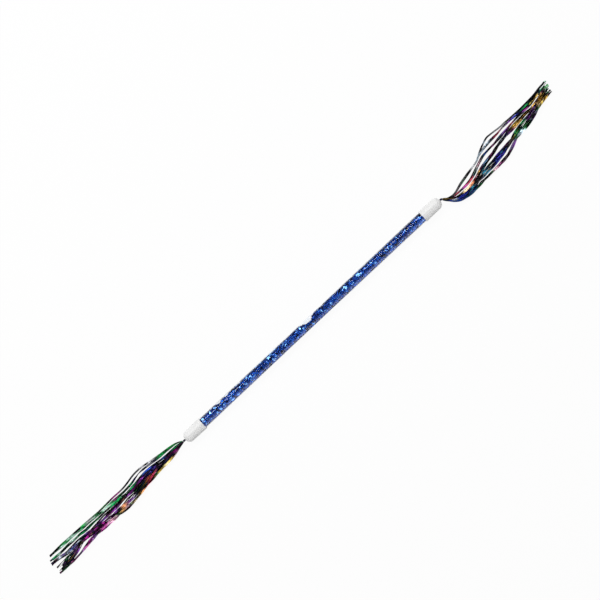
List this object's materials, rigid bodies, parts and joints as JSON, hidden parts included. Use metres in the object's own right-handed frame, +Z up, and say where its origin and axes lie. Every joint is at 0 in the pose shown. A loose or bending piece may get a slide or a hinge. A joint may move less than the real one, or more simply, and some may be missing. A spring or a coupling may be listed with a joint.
{
  "type": "tinsel baton",
  "caption": "Clear tube packed with blue tinsel garland, closed by white end caps, with a swivelling tassel of iridescent foil streamers at each end, for twirling and shaking.",
  "frame": {"origin": "on the table under the centre of the baton's footprint", "axes": "+X along the tube towards the right tassel, +Z up from the table that the baton lies on"},
  "size_m": [0.8308, 0.0408, 0.0158],
  "materials": {
    "clear_tube": "clear polished plastic",
    "garland_thread": "twisted thread",
    "tinsel_blue": "blue metallised film",
    "cap_white": "white moulded plastic, satin",
    "knot_foil": "gathered dark metallised film",
    "foil_navy": "iridescent metallised film",
    "foil_black": "iridescent metallised film",
    "foil_orange": "iridescent metallised film",
    "foil_magenta": "iridescent metallised film",
    "foil_green": "iridescent metallised film",
    "foil_violet": "iridescent metallised film",
    "foil_teal": "iridescent metallised film",
    "foil_gold": "iridescent metallised film"
  },
  "bodies": {
    "baton": {"clear_tube": "clear_tube", "garland_thread": "garland_thread", "tinsel_fringe": "tinsel_blue", "left_cap": "cap_white", "right_cap": "cap_white"},
    "left_swivel": {"left_knot": "knot_foil"},
    "right_swivel": {"right_knot": "knot_foil"},
    "left_tassel": {"left_streamer_01": "foil_navy", "left_streamer_02": "foil_magenta", "left_streamer_03": "foil_teal", "left_streamer_04": "foil_black", "left_streamer_05": "foil_black", "left_streamer_06": "foil_green", "left_streamer_07": "foil_gold", "left_streamer_08": "foil_violet", "left_streamer_09": "foil_violet", "left_streamer_10": "foil_navy", "left_streamer_11": "foil_magenta", "left_streamer_12": "foil_teal", "left_streamer_13": "foil_magenta", "left_streamer_14": "foil_teal", "left_streamer_15": "foil_black", "left_streamer_16": "foil_green", "left_streamer_17": "foil_green", "left_streamer_18": "foil_gold", "left_streamer_19": "foil_orange", "left_streamer_20": "foil_navy", "left_streamer_21": "foil_navy", "left_streamer_22": "foil_magenta", "left_streamer_23": "foil_teal", "left_streamer_24": "foil_black"},
    "right_tassel": {"right_streamer_01": "foil_navy", "right_streamer_02": "foil_magenta", "right_streamer_03": "foil_teal", "right_streamer_04": "foil_black", "right_streamer_05": "foil_black", "right_streamer_06": "foil_green", "right_streamer_07": "foil_gold", "right_streamer_08": "foil_violet", "right_streamer_09": "foil_violet", "right_streamer_10": "foil_navy", "right_streamer_11": "foil_magenta", "right_streamer_12": "foil_teal", "right_streamer_13": "foil_magenta", "right_streamer_14": "foil_teal", "right_streamer_15": "foil_black", "right_streamer_16": "foil_green", "right_streamer_17": "foil_green", "right_streamer_18": "foil_gold", "right_streamer_19": "foil_orange", "right_streamer_20": "foil_navy", "right_streamer_21": "foil_navy", "right_streamer_22": "foil_magenta", "right_streamer_23": "foil_teal", "right_streamer_24": "foil_black"}
  },
  "joints": [
    {"name": "left_knot_turn", "type": "hinge", "parent": "baton", "child": "left_swivel", "pos_m": [-0.19729, 0.00099, 0.00791], "axis": [1, 0, 0], "continuous": true},
    {"name": "left_tassel_swing", "type": "hinge", "parent": "left_swivel", "child": "left_tassel", "pos_m": [-0.19729, 0.00099, 0.00791], "axis": [0, 1, 0], "range_deg": [-90, 90]},
    {"name": "right_knot_turn", "type": "hinge", "parent": "baton", "child": "right_swivel", "pos_m": [0.22621, 0.00099, 0.00791], "axis": [1, 0, 0], "continuous": true},
    {"name": "right_tassel_swing", "type": "hinge", "parent": "right_swivel", "child": "right_tassel", "pos_m": [0.22621, 0.00099, 0.00791], "axis": [0, 1, 0], "range_deg": [-90, 90]}
  ]
}
